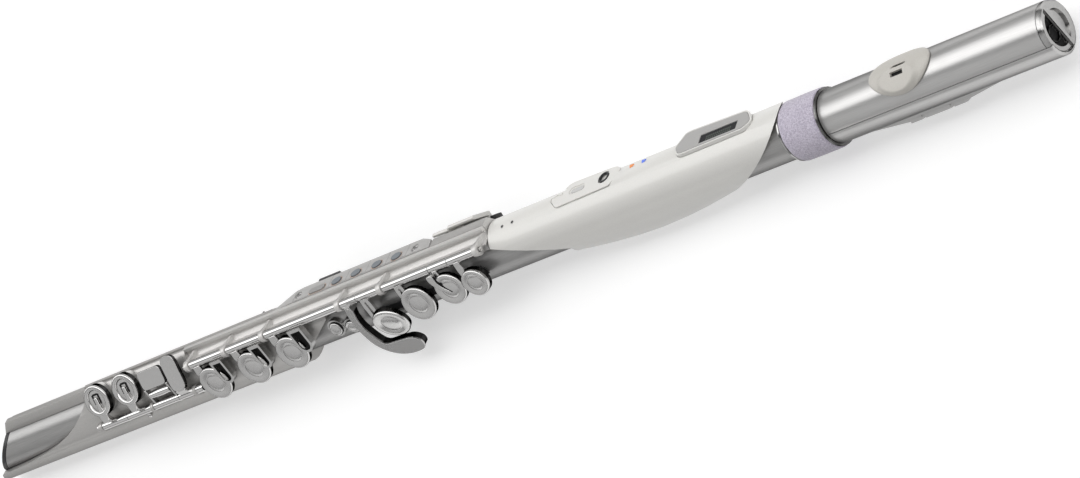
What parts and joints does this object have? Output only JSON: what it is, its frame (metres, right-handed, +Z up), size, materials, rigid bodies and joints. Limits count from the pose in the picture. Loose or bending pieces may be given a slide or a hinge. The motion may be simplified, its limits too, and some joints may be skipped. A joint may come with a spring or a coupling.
{
  "type": "digital wind instrument",
  "caption": "Flute-shaped digital wind instrument with sprung finger keys, a control panel, a display pod, a turning head joint with a lip plate, and a sliding battery cover.",
  "frame": {"origin": "centre of the flat under the white belly casing, on the table, right below the axis of the tube", "axes": "+X along the tube toward the head end, +Z up, -Y toward the player's finger keys"},
  "size_m": [0.7117, 0.0501, 0.0386],
  "materials": {
    "dark_tube": "satin dark silver plate",
    "silver_shell": "satin greige silver",
    "key_silver": "satin silver faces with glossy sides",
    "chrome_fittings": "bright plate",
    "panel_grey": "silver-grey moulded plastic",
    "button_blue_grey": "dark blue-grey buttons",
    "black_plastic": "black moulded plastic",
    "white_shell": "pearl white",
    "warm_grey": "warm grey moulded lip plate",
    "sleeve_fabric": "lavender grey knitted sleeve",
    "orange_lamp": "lit orange lens",
    "blue_lamp": "lit blue lens",
    "screen_glass": "dark display window",
    "circuit_board": "green solder mask",
    "battery_sleeve": "plain printed sleeve",
    "brushed_head": "satin brushed metal"
  },
  "bodies": {
    "root": {"body_tube": "dark_tube", "foot_plug": "black_plastic", "foot_casing": "silver_shell", "key_frame": "silver_shell", "deck_cover": "silver_shell", "control_panel": "panel_grey", "control_board": "circuit_board", "panel_screw_1": "chrome_fittings", "panel_screw_2": "chrome_fittings", "thumb_rest": "black_plastic", "thumb_key_bracket": "black_plastic", "belly_shell_front": "white_shell", "belly_shell_back": "white_shell", "port_panel": "white_shell", "usb_port": "black_plastic", "headphone_jack": "black_plastic", "lamp_orange": "orange_lamp", "lamp_blue": "blue_lamp", "display_pod": "panel_grey", "display_screen": "screen_glass", "main_board": "circuit_board", "joint_sleeve": "sleeve_fabric", "sleeve_ring_foot": "chrome_fittings", "sleeve_ring_head": "chrome_fittings", "trill_boss": "black_plastic", "key_rail": "black_plastic", "main_rod": "chrome_fittings", "foot_rod": "chrome_fittings", "foot_plate": "silver_shell", "foot_plate_screw": "chrome_fittings"},
    "right_key_1_body": {"right_key_1": "key_silver"},
    "right_key_2_body": {"right_key_2": "key_silver"},
    "right_key_3_body": {"right_key_3": "key_silver"},
    "left_key_1_body": {"left_key_1": "key_silver"},
    "left_key_2_body": {"left_key_2": "key_silver"},
    "left_key_3_body": {"left_key_3": "key_silver"},
    "left_key_4_body": {"left_key_4": "key_silver"},
    "lever_body": {"little_finger_lever": "key_silver"},
    "foot_cup_1_body": {"foot_cup_1": "key_silver"},
    "foot_cup_2_body": {"foot_cup_2": "key_silver"},
    "foot_touch_body": {"foot_touch": "key_silver"},
    "roller_body": {"roller": "black_plastic"},
    "tall_touch_body": {"tall_touch": "key_silver"},
    "thumb_key_1_body": {"thumb_key_1": "white_shell"},
    "thumb_key_2_body": {"thumb_key_2": "white_shell"},
    "trill_button_1_body": {"trill_button_1": "key_silver"},
    "trill_button_2_body": {"trill_button_2": "key_silver"},
    "bar_button_body": {"panel_bar_button": "button_blue_grey"},
    "panel_button_1_body": {"panel_button_1": "button_blue_grey"},
    "panel_button_2_body": {"panel_button_2": "button_blue_grey"},
    "panel_button_3_body": {"panel_button_3": "button_blue_grey"},
    "panel_button_4_body": {"panel_button_4": "button_blue_grey"},
    "head": {"head_tube": "brushed_head", "lip_plate": "warm_grey", "breath_sensor": "black_plastic", "end_cap": "chrome_fittings", "battery_tray": "black_plastic", "battery_1": "battery_sleeve", "battery_2": "battery_sleeve"},
    "battery_cover_body": {"battery_cover": "brushed_head"}
  },
  "joints": [
    {"name": "right_key_1_press", "type": "hinge", "parent": "root", "child": "right_key_1_body", "pos_m": [-0.2931, -0.00014, 0.0324], "axis": [1, 0, 0], "range_deg": [0, 7.5], "stiffness_Nm_per_rad": 0.01, "springref_deg": -14.32},
    {"name": "right_key_2_press", "type": "hinge", "parent": "root", "child": "right_key_2_body", "pos_m": [-0.2642, -0.00014, 0.0324], "axis": [1, 0, 0], "range_deg": [0, 7.5], "stiffness_Nm_per_rad": 0.01, "springref_deg": -14.32},
    {"name": "right_key_3_press", "type": "hinge", "parent": "root", "child": "right_key_3_body", "pos_m": [-0.2359, -0.00014, 0.0324], "axis": [1, 0, 0], "range_deg": [0, 7.5], "stiffness_Nm_per_rad": 0.01, "springref_deg": -14.32},
    {"name": "left_key_1_press", "type": "hinge", "parent": "root", "child": "left_key_1_body", "pos_m": [-0.1704, -0.00014, 0.0324], "axis": [1, 0, 0], "range_deg": [0, 7.5], "stiffness_Nm_per_rad": 0.01, "springref_deg": -14.32},
    {"name": "left_key_2_press", "type": "hinge", "parent": "root", "child": "left_key_2_body", "pos_m": [-0.1471, -0.00014, 0.0324], "axis": [1, 0, 0], "range_deg": [0, 7.5], "stiffness_Nm_per_rad": 0.01, "springref_deg": -14.32},
    {"name": "left_key_3_press", "type": "hinge", "parent": "root", "child": "left_key_3_body", "pos_m": [-0.1247, -0.00014, 0.0324], "axis": [1, 0, 0], "range_deg": [0, 7.5], "stiffness_Nm_per_rad": 0.01, "springref_deg": -14.32},
    {"name": "left_key_4_press", "type": "hinge", "parent": "root", "child": "left_key_4_body", "pos_m": [-0.1086, -0.00014, 0.0324], "axis": [1, 0, 0], "range_deg": [0, 7.5], "stiffness_Nm_per_rad": 0.01, "springref_deg": -14.32},
    {"name": "lever_press", "type": "hinge", "parent": "root", "child": "lever_body", "pos_m": [-0.1914, -0.00014, 0.0324], "axis": [1, 0, 0], "range_deg": [0, 5], "stiffness_Nm_per_rad": 0.01, "springref_deg": -14.32},
    {"name": "foot_touch_press", "type": "hinge", "parent": "root", "child": "foot_touch_body", "pos_m": [-0.33, -0.01153, 0.02681], "axis": [-1, 0, 0], "range_deg": [0, 7.5], "stiffness_Nm_per_rad": 0.01, "springref_deg": -14.32},
    {"name": "tall_touch_press", "type": "hinge", "parent": "root", "child": "tall_touch_body", "pos_m": [-0.315, -0.01153, 0.02681], "axis": [-1, 0, 0], "range_deg": [0, 7.5], "stiffness_Nm_per_rad": 0.01, "springref_deg": -14.32},
    {"name": "foot_cup_1_close", "type": "hinge", "parent": "root", "child": "foot_cup_1_body", "pos_m": [-0.3739, -0.01153, 0.02681], "axis": [-1, 0, 0], "range_deg": [0, 7.5], "stiffness_Nm_per_rad": 0.01, "springref_deg": -14.32},
    {"name": "foot_cup_2_close", "type": "hinge", "parent": "root", "child": "foot_cup_2_body", "pos_m": [-0.3515, -0.01153, 0.02681], "axis": [-1, 0, 0], "range_deg": [0, 7.5], "stiffness_Nm_per_rad": 0.01, "springref_deg": -14.32},
    {"name": "roller_spin", "type": "hinge", "parent": "foot_touch_body", "child": "roller_body", "pos_m": [-0.3368, -0.00662, 0.03147], "axis": [1, 0, 0], "continuous": true},
    {"name": "thumb_key_1_press", "type": "hinge", "parent": "root", "child": "thumb_key_1_body", "pos_m": [-0.1323, 0.01559, 0.01064], "axis": [1, 0, 0], "range_deg": [0, 5], "stiffness_Nm_per_rad": 0.004, "springref_deg": -17.19},
    {"name": "thumb_key_2_press", "type": "hinge", "parent": "root", "child": "thumb_key_2_body", "pos_m": [-0.1216, 0.01559, 0.01064], "axis": [1, 0, 0], "range_deg": [0, 5], "stiffness_Nm_per_rad": 0.004, "springref_deg": -17.19},
    {"name": "trill_button_1_press", "type": "slide", "parent": "root", "child": "trill_button_1_body", "axis": [0, 0.6211, -0.7837], "range_m": [0, 0.001], "stiffness_N_per_m": 20, "springref_m": -0.003},
    {"name": "trill_button_2_press", "type": "slide", "parent": "root", "child": "trill_button_2_body", "axis": [0, 0.7314, -0.682], "range_m": [0, 0.001], "stiffness_N_per_m": 20, "springref_m": -0.003},
    {"name": "bar_button_press", "type": "slide", "parent": "root", "child": "bar_button_body", "axis": [0, -0.7071, -0.7071], "range_m": [0, 0.0006], "stiffness_N_per_m": 20, "springref_m": -0.003},
    {"name": "panel_button_1_press", "type": "slide", "parent": "root", "child": "panel_button_1_body", "axis": [0, -0.7071, -0.7071], "range_m": [0, 0.0006], "stiffness_N_per_m": 20, "springref_m": -0.003},
    {"name": "panel_button_2_press", "type": "slide", "parent": "root", "child": "panel_button_2_body", "axis": [0, -0.7071, -0.7071], "range_m": [0, 0.0006], "stiffness_N_per_m": 20, "springref_m": -0.003},
    {"name": "panel_button_3_press", "type": "slide", "parent": "root", "child": "panel_button_3_body", "axis": [0, -0.7071, -0.7071], "range_m": [0, 0.0006], "stiffness_N_per_m": 20, "springref_m": -0.003},
    {"name": "panel_button_4_press", "type": "slide", "parent": "root", "child": "panel_button_4_body", "axis": [0, -0.7071, -0.7071], "range_m": [0, 0.0006], "stiffness_N_per_m": 20, "springref_m": -0.003},
    {"name": "head_turn", "type": "hinge", "parent": "root", "child": "head", "pos_m": [0.1, 0, 0.015], "axis": [1, 0, 0], "range_deg": [-15, 15]},
    {"name": "battery_cover_slide", "type": "slide", "parent": "head", "child": "battery_cover_body", "axis": [1, 0, 0], "range_m": [0, 0.125]}
  ],
  "couplings": [
    {"joint": "foot_cup_2_close", "follows": "foot_touch_press", "ratio": 1},
    {"joint": "foot_cup_1_close", "follows": "tall_touch_press", "ratio": 1}
  ]
}
